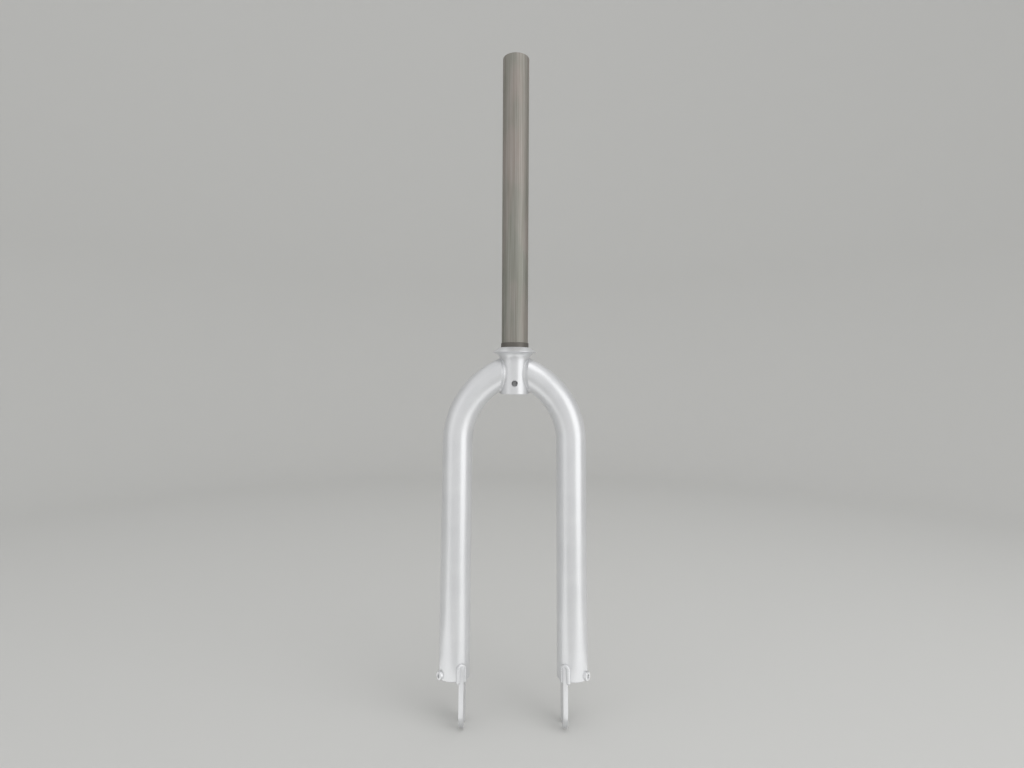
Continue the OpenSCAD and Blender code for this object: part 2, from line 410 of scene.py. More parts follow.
class ShapeTree:
    """A tree of Geometry Nodes that moves a mesh's points and gives the result its finish."""

    def __init__(self, name: str, numbers: Iterable[str]) -> None:
        """Starts the tree with its named inputs.

        Args:
            name: The tree's name.
            numbers: The names of its number inputs.
        """
        self.tree = bpy.data.node_groups.new(name, "GeometryNodeTree")
        face = self.tree.interface
        for way in ("OUTPUT", "INPUT"):
            face.new_socket("Geometry", in_out=way, socket_type="NodeSocketGeometry")
        kinds = {**{number: "Float" for number in numbers}, "Material": "Material"}
        self.sockets: dict[str, str] = {
            label: face.new_socket(
                label, in_out="INPUT", socket_type=f"NodeSocket{kind}").identifier
            for label, kind in kinds.items()}
        self.given = add(self.tree, "NodeGroupInput").outputs

    def attribute(self, name: str, kind: str) -> NodeSocket:
        """Reads an attribute that the mesh carries; kind is FLOAT or FLOAT_VECTOR."""
        return add(self.tree, "GeometryNodeInputNamedAttribute", {"data_type": kind},
                   {"Name": name}).outputs[0]

    def close(self, direction: NodeSocket, distance: NodeSocket) -> None:
        """Moves the points, makes the result real, gives it its finish and ends the tree.

        Args:
            direction: The way that each point moves.
            distance: How far it moves, in metres.
        """
        tree = self.tree
        offset = add(tree, "ShaderNodeVectorMath", {"operation": "SCALE"},
                     {0: direction, "Scale": distance})
        moved = add(tree, "GeometryNodeSetPosition", {}, {
            "Geometry": self.given["Geometry"], "Offset": offset.outputs[0]})
        smooth = add(tree, "GeometryNodeSetShadeSmooth", {}, {0: moved.outputs[0]})
        real = add(tree, "GeometryNodeRealizeInstances", {}, {0: smooth.outputs[0]})
        dressed = add(tree, "GeometryNodeSetMaterial", {}, {
            "Geometry": real.outputs[0], "Material": self.given["Material"]})
        add(tree, "NodeGroupOutput", {}, {0: dressed.outputs[0]})

    def apply(self, piece: Object, values: dict[str, Any]) -> None:
        """Runs the tree on a piece and keeps the result as its plain mesh.

        Args:
            piece: The mesh object to change.
            values: A value for each named input.
        """
        modifier = piece.modifiers.new(self.tree.name, "NODES")
        modifier.node_group = self.tree
        for name, value in values.items():
            modifier[self.sockets[name]] = value
        bake_modifiers(piece)


def bake_modifiers(piece: Object) -> None:
    """Replaces a piece's mesh with its evaluated one and removes its modifiers.

    Args:
        piece: The mesh object.
    """
    view = bpy.context.evaluated_depsgraph_get()
    view.update()
    baked = bpy.data.meshes.new_from_object(piece.evaluated_get(view))
    baked.name = piece.data.name
    piece.modifiers.clear()
    piece.data = baked


class Ripples(ShapeTree):
    """Lays a welder's ripples on a smooth bead.

    The bead's mesh carries two attributes: along, the distance along the seam in metres, and
    across, from -1 at one toe to 1 at the other.
    """

    WANDER_PER_M = 260.0
    UNEVENNESS = 0.9
    FADE_POWER = 3.0

    def __init__(self) -> None:
        """Builds the tree: each ripple is an arch that bows back towards both toes."""
        super().__init__("weld_ripples", ("Spacing", "Height", "Bow", "Unevenness", "Seed"))
        tree, given = self.tree, self.given
        along, across = (self.attribute(name, "FLOAT") for name in ("along", "across"))
        place = add(tree, "GeometryNodeInputPosition").outputs[0]
        noise = add(tree, "ShaderNodeTexNoise", {"noise_dimensions": "4D"}, {
            "Vector": place, "W": given["Seed"], "Scale": self.WANDER_PER_M,
            "Detail": 1.0}).outputs["Fac"]
        square = math_node(tree, "MULTIPLY", across, across)
        bowed = math_node(tree, "MULTIPLY_ADD", square, given["Bow"], along)
        wander = math_node(tree, "MULTIPLY", math_node(tree, "SUBTRACT", noise, 0.5),
                           math_node(tree, "MULTIPLY", given["Unevenness"], given["Spacing"]))
        turns = math_node(tree, "DIVIDE", math_node(tree, "ADD", bowed, wander), given["Spacing"])
        arch = math_node(tree, "ABSOLUTE", math_node(
            tree, "SINE", math_node(tree, "MULTIPLY", turns, math.pi)))
        fade = math_node(tree, "SUBTRACT", 1.0, math_node(tree, "POWER", square, self.FADE_POWER))
        lift = math_node(tree, "MULTIPLY", math_node(tree, "MULTIPLY", arch, fade), given["Height"])
        self.close(add(tree, "GeometryNodeInputNormal").outputs[0], lift)

    def lay(self, bead: Object, material: Material, spacing_mm: float,
            height_mm: float, bow_mm: float, seed: float) -> None:
        """Lays the ripples on a bead.

        Args:
            bead: The smooth bead.
            material: The finish of the bead.
            spacing_mm: The distance from one ripple to the next.
            height_mm: The height of a ripple.
            bow_mm: How far a ripple trails at the toes.
            seed: What sets the unevenness of this bead.
        """
        self.apply(bead, {"Spacing": spacing_mm * MM, "Height": height_mm * MM, "Bow": bow_mm * MM,
                          "Unevenness": self.UNEVENNESS, "Seed": seed, "Material": material})


class Thread(ShapeTree):
    """Cuts a screw thread into a smooth bore.

    The bore's points carry two attributes: turn, the share of a turn round the axis plus the
    number of pitches along it, and outwards, the direction away from the axis.
    """

    def __init__(self) -> None:
        """Builds the tree: the groove deepens and rises again once in each turn."""
        super().__init__("screw_thread", ("Depth",))
        turn = math_node(self.tree, "FRACT", self.attribute("turn", "FLOAT"))
        groove = math_node(self.tree, "PINGPONG", turn, 0.5)
        depth = math_node(self.tree, "MULTIPLY", math_node(self.tree, "MULTIPLY", groove, 2.0),
                          self.given["Depth"])
        self.close(self.attribute("outwards", "FLOAT_VECTOR"), depth)

    def cut(self, piece: Object, depth_mm: float, material: Material) -> None:
        """Cuts the thread, depth_mm deep, into a piece with a smooth bore and gives its finish."""
        self.apply(piece, {"Depth": depth_mm * MM, "Material": material})


# Sub-assemblies


@dataclass
class ForkLayout:
    """The fork's driving sizes in millimetres, and the leaning plane that holds the blades."""

    crown_r: float = 15.25
    blade_r: float = 15.9
    blade_wall: float = 1.8
    blade_x: float = 61.0
    bend_r: float = 82.0
    blade_top_drop: float = 11.1
    blade_end_z: float = -343.5
    lean_deg: float = 5.7
    mitre_r: float = 50.0
    mitre_gap: float = 1.1
    axle_z: float = -376.5
    plate_t: float = 5.0
    hub_w: float = 100.0
    tab_in: float = 16.0
    # Rounds of the search for the point at which a tube's line meets a cylinder
    meet_rounds: int = 7
    bend_x: float = field(init=False)
    bend_z: float = field(init=False)
    mitre_x: float = field(init=False)
    lean_z: float = field(init=False)
    plate_x: float = field(init=False)

    def __post_init__(self) -> None:
        """Works out the sizes that follow from the others."""
        self.bend_x = self.blade_x - self.bend_r
        reach = self.crown_r - self.bend_x
        outside = self.bend_r + self.blade_r
        self.bend_z = -self.blade_top_drop - math.sqrt(outside ** 2 - reach ** 2)
        self.lean_z = self.bend_z + math.sqrt(self.bend_r ** 2 - reach ** 2)
        self.mitre_x = self.crown_r + self.mitre_gap - self.mitre_r
        self.plate_x = (self.hub_w + self.plate_t) / 2

    def lean(self, point: Vector) -> Vector:
        """Puts a point of the upright plane into the leaning plane.

        Args:
            point: A point in millimetres.

        Returns:
            The leaned point in millimetres.
        """
        pivot = Matrix.Translation((0.0, 0.0, self.lean_z))
        turn = Matrix.Rotation(math.radians(-self.lean_deg), 4, "X")
        return pivot @ turn @ pivot.inverted() @ point

    def bent(self, up: float, side: float, angle: float) -> Vector:
        """Finds a point of the bent tube before it leans, angle radians along the bend."""
        reach = self.bend_r + up
        return Vector((self.bend_x + reach * math.cos(angle), side,
                       self.bend_z + reach * math.sin(angle)))

    def meet_angle(self, up: float, side: float, cut_r: float, cut_x: float) -> float:
        """Finds the angle along the bend at which a line of the tube meets an upright cylinder.

        Args:
            up: The line's offset from the middle of the tube, away from the bend's centre.
            side: Its offset towards the back.
            cut_r: The radius of the upright cylinder.
            cut_x: The X of the cylinder's axis.

        Returns:
            The angle in radians.
        """
        angle, depth = 0.0, 0.0
        for _ in range(self.meet_rounds):
            cut = cut_x + math.sqrt(cut_r ** 2 - depth ** 2)
            angle = math.acos((cut - self.bend_x) / (self.bend_r + up))
            depth = self.lean(self.bent(up, side, angle)).y
        return angle

    def meet(self, up: float, side: float, cut_r: float, cut_x: float) -> Vector:
        """Finds the leaned point at which a line of the tube meets an upright cylinder."""
        return self.lean(self.bent(up, side, self.meet_angle(up, side, cut_r, cut_x)))

    def place(self, points: Iterable[Vector], side: Side, leaning: bool) -> list[Vector]:
        """Turns the right side's points into a side's, in metres, leaning them first if asked."""
        placed = [self.lean(p) if leaning else p for p in points]
        return [Vector((p.x * side.value, p.y, p.z)) * MM for p in placed]


def report(piece: Object, node: str) -> None:
    """Ties a lacquered piece to the frame and logs it.

    Args:
        piece: The finished piece.
        node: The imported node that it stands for.
    """
    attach(piece, BODY)
    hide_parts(node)
    log.info("%s: %d faces", piece.name, len(piece.data.polygons))


@dataclass
class SteererTube:
    """The steerer, which keeps its solid shape: bare above the ring and lacquered below."""

    finish: SteererFinish = SteererFinish()

    def build(self) -> None:
        """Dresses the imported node."""
        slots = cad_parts["steerer_tube"].data.materials
        slots.clear()
        slots.append(make_material("drawn_steel_part_lacquered", self.finish.surface))
        log.info("steerer_tube dressed")


@dataclass
class CrownRaceRing:
    """The turned ring under the race seat: a flat, a cone, a sharp rim and a flared skirt."""

    layout: ForkLayout
    shoulder_w: float = 1.2
    rim_r: float = 23.4
    rim_drop: float = 4.8
    rim_t: float = 0.5
    skirt_drop: float = 14.0
    skirt_wall: float = 0.4
    round_steps: int = 192
    flare_steps: int = 28
    sharp_deg: float = 25.0

    def profile(self) -> list[tuple[float, float]]:
        """Draws the ring's closed half section as radius and height, once round.

        Returns:
            The section's points.
        """
        inside = self.layout.crown_r
        foot = inside + self.skirt_wall
        wide, tall = self.rim_r - foot, self.skirt_drop - self.rim_drop - self.rim_t
        flare_r = (wide * wide + tall * tall) / (2 * wide)
        start = math.degrees(math.atan2(tall, wide - flare_r))
        flare = arc((foot + flare_r, -self.skirt_drop), flare_r, start, 180.0, self.flare_steps)
        return [(inside, 0.0), (inside + self.shoulder_w, 0.0), (self.rim_r, -self.rim_drop),
                *flare, (inside, -self.skirt_drop)]

    def build(self, lacquer: Material) -> None:
        """Makes the ring and gives it the lacquer.

        Args:
            lacquer: The finish.
        """
        section = self.profile()
        # Half a step round, so that no corner reaches past the solid's own facets
        turns = [math.tau * (i + 0.5) / self.round_steps for i in range(self.round_steps)]
        points = [Vector((r * math.cos(t), r * math.sin(t), z)) * MM
                  for t in turns for r, z in section]
        ring = make_piece("crown_race_ring_turned", points,
                          closed_rows(self.round_steps, len(section)))
        ring.data.set_sharp_from_angle(angle=math.radians(self.sharp_deg))
        ring.data.materials.append(lacquer)
        report(ring, "crown_race_ring")


@dataclass
class Blade:
    """One blade: a straight tube, closed below, bent inwards and hollowed to meet the steerer."""

    layout: ForkLayout
    end_r: float = 2.0
    inner_end_r: float = 0.3
    round_steps: int = 96
    bend_steps: int = 72
    straight_step: float = 12.0
    edge_steps: int = 6
    sharp_deg: float = 50.0

    def skin(self, radius: float, low_z: float, edge_r: float) -> list[list[Vector]]:
        """Draws one skin of the tube as rings from its closed end up to the steerer.

        Args:
            radius: The skin's radius.
            low_z: The level of its closed end.
            edge_r: The radius on the edge of that end.

        Returns:
            The rings' points, leaned, in millimetres.
        """
        lay = self.layout
        levels = arc((radius - edge_r, low_z + edge_r), edge_r, -90.0, 0.0, self.edge_steps)
        rise = lay.bend_z - levels[-1][1]
        count = round(rise / self.straight_step)
        levels += [(radius, levels[-1][1] + rise * i / count) for i in range(1, count + 1)]
        turns = [math.tau * i / self.round_steps for i in range(self.round_steps)]
        rings = [[lay.lean(Vector((lay.blade_x + r * math.cos(t), r * math.sin(t), z)))
                  for t in turns] for r, z in levels]
        ways = [(radius * math.cos(t), radius * math.sin(t)) for t in turns]
        ends = [lay.meet_angle(up, across, lay.mitre_r, lay.mitre_x) for up, across in ways]
        for i in range(1, self.bend_steps + 1):
            rings.append([lay.lean(lay.bent(up, across, end * i / self.bend_steps))
                          for (up, across), end in zip(ways, ends)])
        return rings

    def build(self, side: Side, lacquer: Material) -> None:
        """Makes one blade.

        Args:
            side: The side that it is on.
            lacquer: The finish.
        """
        lay = self.layout
        outer = self.skin(lay.blade_r, lay.blade_end_z, self.end_r)
        inner = self.skin(lay.blade_r - lay.blade_wall, lay.blade_end_z + lay.blade_wall,
                          self.inner_end_r)
        rings = [*outer, *reversed(inner)]
        count = self.round_steps
        points = [point for ring in rings for point in ring]
        # A flat cap closes each skin below, and so the last row isn't joined to the first
        faces = [tuple(range(count)), *closed_rows(len(rings), count)[:-count],
                 tuple(range(len(points) - count, len(points)))]
        tube = make_piece(f"blade_tube_{side.word}", lay.place(points, side, False), faces)
        tube.data.set_sharp_from_angle(angle=math.radians(self.sharp_deg))
        tube.data.materials.append(lacquer)
        report(tube, f"blade_{side.word}")


@dataclass
class CrownWeld:
    """The bead that joins one blade's hollowed end to the steerer."""

    layout: ForkLayout
    bare_half_w: float = 8.5
    reach: float = 1.6
    # How far the toes and the root sink into what they join
    toe_in: float = 0.05
    root_in: float = 1.0
    stations: int = 640
    strips: int = 14
    ripple_spacing: float = 1.9
    ripple_height: float = 0.16
    ripple_bow: float = 1.1
    seed: float = 11.0

    def toes(self, angle: float) -> tuple[Vector, Vector, Vector, Vector]:
        """Finds the four corners of the bead's section at an angle round the blade.

        Args:
            angle: The angle in radians, 0 at the front.

        Returns:
            The toe on the steerer, the toe on the blade, and the two root points in the walls.
        """
        lay = self.layout
        half_y = math.sqrt(lay.crown_r ** 2 - self.bare_half_w ** 2)
        up, out = math.sin(angle), math.cos(angle)
        inner = lay.blade_r - lay.blade_wall / 2
        return (
            lay.meet((lay.blade_r + self.reach) * up, -half_y * out,
                     lay.crown_r - self.toe_in, 0.0),
            lay.meet((lay.blade_r - self.toe_in) * up, -(lay.blade_r - self.toe_in) * out,
                     lay.mitre_r + self.reach, lay.mitre_x),
            lay.meet(inner * up, -inner * out, lay.mitre_r + self.reach / 2, lay.mitre_x),
            lay.meet(inner * up, -(half_y - self.reach) * out, lay.crown_r - self.root_in, 0.0))

    def section(self, angle: float, along: Vector) -> list[Vector]:
        """Draws the bead's closed section at an angle.

        Args:
            angle: The angle in radians.
            along: The direction of the seam there.

        Returns:
            The section's points, from the steerer's toe over the face and back by the root.
        """
        lay = self.layout
        first, last, root_blade, root_steerer = self.toes(angle)
        step = last - first
        # The face runs smoothly off the steerer and onto the blade, hollow in between
        off_steerer = Vector((first.x, first.y, 0.0))
        off_blade = lay.lean(Vector((0.0, -math.cos(angle), 0.0))) - lay.lean(Vector())
        middle = lay.meet(0.0, 0.0, lay.mitre_r + self.reach, lay.mitre_x)
        rise = Vector((middle.x - lay.bend_x, 0.0, middle.z - lay.bend_z)).normalized()
        off_blade += rise * math.sin(angle)
        ways = []
        for normal in (off_steerer, off_blade):
            way = normal.cross(along).normalized()
            ways.append((way if way.dot(step) > 0 else -way) * step.length)
        face = []
        for t in (i / self.strips for i in range(self.strips + 1)):
            face.append(first + step * (t * t * (3 - 2 * t)) + ways[0] * (t * (1 - t) ** 2)
                        - ways[1] * (t * t * (1 - t)))
        return [*face, root_blade, root_steerer]

    def build(self, side: Side, ripples: Ripples, lacquer: Material) -> None:
        """Makes one bead with its ripples.

        Args:
            side: The side that it is on.
            ripples: The tree that lays the ripples.
            lacquer: The finish.
        """
        step = math.tau / self.stations
        centres = [sum(self.toes(i * step)[:2], Vector()) / 2 for i in range(self.stations)]
        points: list[Vector] = []
        run, runs = 0.0, []
        for i, centre in enumerate(centres):
            ahead, behind = centres[(i + 1) % self.stations], centres[i - 1]
            points.extend(self.section(i * step, ahead - behind))
            runs.append(run)
            run += (ahead - centre).length
        # The spacing is fitted so that a whole number of ripples closes the ring
        count = round(run / self.ripple_spacing)
        width = self.strips + 3
        bead = make_piece(f"crown_weld_bead_{side.word}", self.layout.place(points, side, False),
                          closed_rows(self.stations, width))
        across = [min(1.0, 2 * j / self.strips - 1) for j in range(self.strips + 1)] + [1.0, -1.0]
        write_attribute(bead, "along", "FLOAT", [r * MM for r in runs for _ in range(width)])
        write_attribute(bead, "across", "FLOAT", across * self.stations)
        ripples.lay(bead, lacquer, run / count, self.ripple_height, self.ripple_bow,
                    self.seed + side.value)
        report(bead, f"crown_weld_{side.word}")


def write_attribute(piece: Object, name: str, kind: str, values: list[Any]) -> None:
    """Writes one value to each point of a piece.

    Args:
        piece: The piece.
        name: The attribute's name.
        kind: FLOAT or FLOAT_VECTOR.
        values: One number or vector for each point.
    """
    made = piece.data.attributes.new(name, kind, "POINT")
    if kind == "FLOAT":
        made.data.foreach_set("value", values)
    else:
        made.data.foreach_set("vector", [c for v in values for c in v])


def arc(centre: tuple[float, float], radius: float, start: float, end: float,
        steps: int) -> list[tuple[float, float]]:
    """Draws an arc in a plane from start to end, in degrees, in the given number of stretches."""
    angles = [math.radians(start + (end - start) * i / steps) for i in range(steps + 1)]
    return [(centre[0] + radius * math.cos(a), centre[1] + radius * math.sin(a)) for a in angles]


@dataclass
class Dropout:
    """A pressed plate with an open axle slot, its cut edges slightly rolled over."""

    layout: ForkLayout
    # The solid's 31 mm less a hair, because this outline is smoother than the solid's
    width: float = 30.98
    slot_w: float = 9.5
    mouth_flare: float = 1.6
    run_on: float = 5.0
    corner_r: float = 4.0
    edge_r: float = 0.5
    edge_steps: int = 4
    arc_steps: int = 48
    corner_steps: int = 12
    roll_from_deg: float = 60.0
    # The step of the search for the mouth's corners
    search_step: float = 0.01
    sharp_deg: float = 28.0

    def outline(self) -> list[tuple[float, float]]:
        """Draws the plate with the axle at its origin: Y to the back, then up.

        Returns:
            The outline's points, once round.
        """
        half, slot = self.width / 2, self.slot_w / 2
        top = self.layout.blade_end_z + self.layout.tab_in - self.layout.axle_z
        flare_top = 2 * self.mouth_flare - half
        # The slanted mouth runs on below the round end, which cuts it where both meet
        slope = (self.mouth_flare + self.run_on) / (flare_top + half + self.run_on)
        drop = flare_top
        while math.hypot(slot + (flare_top - drop) * slope, drop) < half:
            drop -= self.search_step
        mouth = slot + (flare_top - drop) * slope
        low = math.degrees(math.atan2(drop, mouth))
        right = arc((0.0, 0.0), half, low, 0.0, self.arc_steps // 2)
        corner = arc((half - self.corner_r, top - self.corner_r), self.corner_r, 0.0, 90.0,
                     self.corner_steps)
        left = [(-x, y) for x, y in reversed(right + corner)]
        arch = arc((0.0, 0.0), slot, 180.0, 0.0, self.arc_steps)
        return [*right, *corner, *left, (-slot, flare_top), *arch, (slot, flare_top)]

    def build(self, side: Side, lacquer: Material) -> None:
        """Makes one plate with its rolled-over edges.

        Args:
            side: The side that it is on.
            lacquer: The finish.
        """
        lay = self.layout
        outline = self.outline()
        count = len(outline)
        points = [Vector((lay.plate_x + s * lay.plate_t / 2, y, lay.axle_z + z))
                  for s in (-1, 1) for y, z in outline]
        faces = [tuple(range(count)), tuple(range(2 * count - 1, count - 1, -1))]
        faces += [(i, (i + 1) % count, count + (i + 1) % count, count + i) for i in range(count)]
        plate = make_piece(f"dropout_plate_{side.word}", lay.place(points, side, True), faces,
                           smooth=False)
        bevel = plate.modifiers.new("rolled_edge", "BEVEL")
        bevel.width, bevel.segments = self.edge_r * MM, self.edge_steps
        bevel.limit_method, bevel.angle_limit = "ANGLE", math.radians(self.roll_from_deg)
        bake_modifiers(plate)
        plate.data.shade_smooth()
        plate.data.set_sharp_from_angle(angle=math.radians(self.sharp_deg))
        plate.data.materials.append(lacquer)
        report(plate, f"dropout_{side.word}")


@dataclass
class DropoutWeld:
    """The bead round a plate: over its front and back edges and under the blade's end."""

    layout: ForkLayout
    bead_r: float = 1.9
    spacing: float = 1.7
    ripple_height: float = 0.22
    ripple_bow: float = 0.9
    # How far across the ripples reach, where 1 is a toe, at which they have faded out
    across_most: float = 0.9
    seed: float = 31.0
    step: float = 0.22
    ring: int = 20
    arch_steps: int = 24
    corner_steps: int = 6

    def route(self) -> list[Vector]:
        """Draws the bead's closed middle line on the right side, before it leans.

        Returns:
            Corner points and arch points, once round.
        """
        lay = self.layout
        offset = lay.plate_x - lay.blade_x
        depth = math.sqrt(lay.blade_r ** 2 - offset ** 2)
        slope = math.asin(offset / lay.blade_r)
        leg = (lay.plate_t + self.bead_r) / 2
        arch_z = lay.blade_end_z + lay.tab_in - leg
        low_z = lay.blade_end_z - self.bead_r / 4
        front: list[Vector] = []
        for angle in (math.pi * i / self.arch_steps for i in range(self.arch_steps + 1)):
            across, rise = -leg * math.cos(angle), leg * math.sin(angle)
            front.append(Vector((lay.plate_x + across * math.cos(slope),
                                 across * math.sin(slope) - depth, arch_z + rise)))
        corner_r = self.bead_r
        start, end = front[0], front[-1]
        low_start = Vector((start.x, start.y, low_z))
        low_end = Vector((end.x, end.y, low_z))

        def turn(corner: Vector, before: Vector, after: Vector) -> list[Vector]:
            """Rounds a corner.

            Args:
                corner: The sharp corner.
                before: The direction from it back along the line.
                after: The direction from it on along the line.

            Returns:
                The points of the rounding.
            """
            entry, leave = corner + before * corner_r, corner + after * corner_r
            centre = entry + after * corner_r
            return [centre + (entry - centre) * math.cos(a) + (leave - centre) * math.sin(a)
                    for a in (math.pi / 2 * i / self.corner_steps
                              for i in range(self.corner_steps + 1))]

        up, back = Vector((0, 0, 1)), Vector((0, 1, 0))
        half = [*turn(low_start, back, up), *front, *turn(low_end, up, back)]
        other = [Vector((p.x, -p.y, p.z)) for p in reversed(half)]
        return half + other

    def build(self, side: Side, ripples: Ripples, lacquer: Material) -> None:
        """Makes one bead with its ripples.

        Args:
            side: The side that it is on.
            ripples: The tree that lays the ripples.
            lacquer: The finish.
        """
        route = even_route(self.route(), self.step)
        count = len(route)
        length = count * self.step
        points, runs, across = [], [], []
        centre = sum(route, Vector()) / count
        for i, here in enumerate(route):
            ahead = (route[(i + 1) % count] - route[i - 1]).normalized()
            away = (here - centre) - ahead * (here - centre).dot(ahead)
            away.normalize()
            side_way = ahead.cross(away)
            for j in range(self.ring):
                angle = math.tau * j / self.ring
                ray = away * math.cos(angle) + side_way * math.sin(angle)
                points.append(here + ray * self.bead_r)
                runs.append(i * length / count * MM)
                half_turn = angle / 2 if angle < math.pi else angle / 2 - math.pi
                across.append(self.across_most * math.sin(half_turn))
        bead = make_piece(f"dropout_weld_bead_{side.word}", self.layout.place(points, side, True),
                          closed_rows(count, self.ring))
        write_attribute(bead, "along", "FLOAT", runs)
        write_attribute(bead, "across", "FLOAT", across)
        spacing = length / round(length / self.spacing)
        ripples.lay(bead, lacquer, spacing, self.ripple_height, self.ripple_bow,
                    self.seed + side.value)
        report(bead, f"dropout_weld_{side.word}")


def even_route(corners: list[Vector], step: float) -> list[Vector]:
    """Divides a closed line into equal stretches.

    Args:
        corners: The line's points.
        step: The wanted distance between points.

    Returns:
        Evenly spaced points, once round.
    """
    lengths = [(corners[(i + 1) % len(corners)] - p).length for i, p in enumerate(corners)]
    total = sum(lengths)
    count = max(8, round(total / step))
    points, index, passed = [], 0, 0.0
    for i in range(count):
        target = total * i / count
        while passed + lengths[index] < target:
            passed += lengths[index]
            index += 1
        start, end = corners[index], corners[(index + 1) % len(corners)]
        points.append(start.lerp(end, (target - passed) / max(lengths[index], 1e-9)))
    return points


@dataclass
class MudguardBoss:
    """A turned boss with an M5 thread, let into the blade above its end."""

    layout: ForkLayout
    boss_r: float = 4.5
    height: float = 2.8
    shank_r: float = 3.0
    hole_r: float = 2.1
    # The rounded rim keeps inside the 0.6 mm bevel that it stands for
    rim_r: float = 1.05
    rim_steps: int = 6
    # The shank ends inside the blade, the head is let into it, and the bore has a bevelled mouth
    shank_in: float = 1.0
    head_in: float = 1.2
    mouth_w: float = 0.45
    mouth_h: float = 0.3
    up: float = 5.0
    turn_deg: float = 35.0
    pitch: float = 0.8
    thread_depth: float = 0.4
    round_steps: int = 72
    thread_steps: int = 10
    sharp_deg: float = 40.0

    def profile(self) -> tuple[list[tuple[float, float]], int]:
        """Draws the boss's half section as radius and distance from the blade's axis.

        Returns:
            The closed profile's points, and how many at its start form the bore.
        """
        lay = self.layout
        inside = lay.blade_r - lay.blade_wall - self.shank_in
        top = lay.blade_r + self.height
        deep = top - inside - self.mouth_h
        rows = round(deep / self.pitch * self.thread_steps)
        bore = [(self.hole_r, top - self.mouth_h - deep * i / rows) for i in range(rows + 1)]
        seat = lay.blade_r - self.head_in
        outside = [(self.shank_r, inside), (self.shank_r, seat), (self.boss_r, seat)]
        rim = arc((self.boss_r - self.rim_r, top - self.rim_r), self.rim_r, 0.0, 90.0,
                  self.rim_steps)
        return [*bore, *outside, *rim, (self.hole_r + self.mouth_w, top)], len(bore)

    def build(self, side: Side, thread: Thread, lacquer: Material) -> None:
        """Makes one boss with its thread.

        Args:
            side: The side that it is on.
            thread: The tree that cuts the thread.
            lacquer: The finish.
        """
        lay = self.layout
        profile, bore_count = self.profile()
        turn = math.radians(self.turn_deg)
        axis = Vector((math.cos(turn), -math.sin(turn), 0.0))
        sideways, upwards = Vector((math.sin(turn), math.cos(turn), 0.0)), Vector((0.0, 0.0, 1.0))
        origin = Vector((lay.blade_x, 0.0, lay.blade_end_z + self.up))
        points, turns, outwards = [], [], []
        base = lay.place([Vector()], side, True)[0]
        for i in range(self.round_steps):
            angle = math.tau * i / self.round_steps
            ray = sideways * math.cos(angle) + upwards * math.sin(angle)
            out = lay.place([ray], side, True)[0] - base
            for j, (radius, depth) in enumerate(profile):
                points.append(origin + axis * depth + ray * radius)
                in_bore = 0 < j < bore_count - 1
                turns.append(i / self.round_steps + depth / self.pitch)
                outwards.append(out / MM if in_bore else Vector())
        boss = make_piece(f"mudguard_boss_{side.word}_threaded", lay.place(points, side, True),
                          closed_rows(self.round_steps, len(profile)))
        write_attribute(boss, "turn", "FLOAT", turns)
        write_attribute(boss, "outwards", "FLOAT_VECTOR", outwards)
        thread.cut(boss, self.thread_depth, lacquer)
        boss.data.set_sharp_from_angle(angle=math.radians(self.sharp_deg))
        report(boss, f"mudguard_boss_{side.word}")


# The room


@dataclass(frozen=True)
class StudioPaper:
    """Pale matt paper that lies as the floor and sweeps up into the wall behind."""

    colour: str = "#cfcfcd"
    roughness: float = 0.9
    grain: Flecks = Flecks(1.5, 2.0)
    grain_relief_mm: float = 0.05

    def surface(self, tree: NodeTree, place: NodeSocket) -> Surface:
        """Adds the paper's nodes.

        Args:
            tree: The material's tree.
            place: Object coordinates.

        Returns:
            The paper's surface.
        """
        relief = math_node(tree, "MULTIPLY", self.grain.build(tree, place), self.grain_relief_mm)
        return Surface(linear(self.colour), self.roughness, 0.0, relief)


@dataclass(frozen=True)
class Lamp:
    """An oblong softbox: where it stands and aims, its size in metres and its glow."""

    name: str
    place: tuple[float, float, float]
    aim: tuple[float, float, float]
    size: tuple[float, float]
    # Radiance of the softbox's face, on the scale on which white paper in full light is 1
    glow: float
    turn_deg: float = 0.0

    def build(self) -> None:
        """Puts the lamp in the scene."""
        light = bpy.data.lights.new(self.name, "AREA")
        light.shape, light.size, light.size_y = "RECTANGLE", self.size[0], self.size[1]
        light.energy = self.glow * math.pi * self.size[0] * self.size[1]
        lamp = link_object(self.name, light)
        lamp.visible_camera = False
        way = Vector(self.aim) - Vector(self.place)
        lamp.matrix_world = (
            Matrix.Translation(self.place) @ way.to_track_quat("-Z", "Y").to_matrix().to_4x4()
            @ Matrix.Rotation(math.radians(self.turn_deg), 4, "Z"))


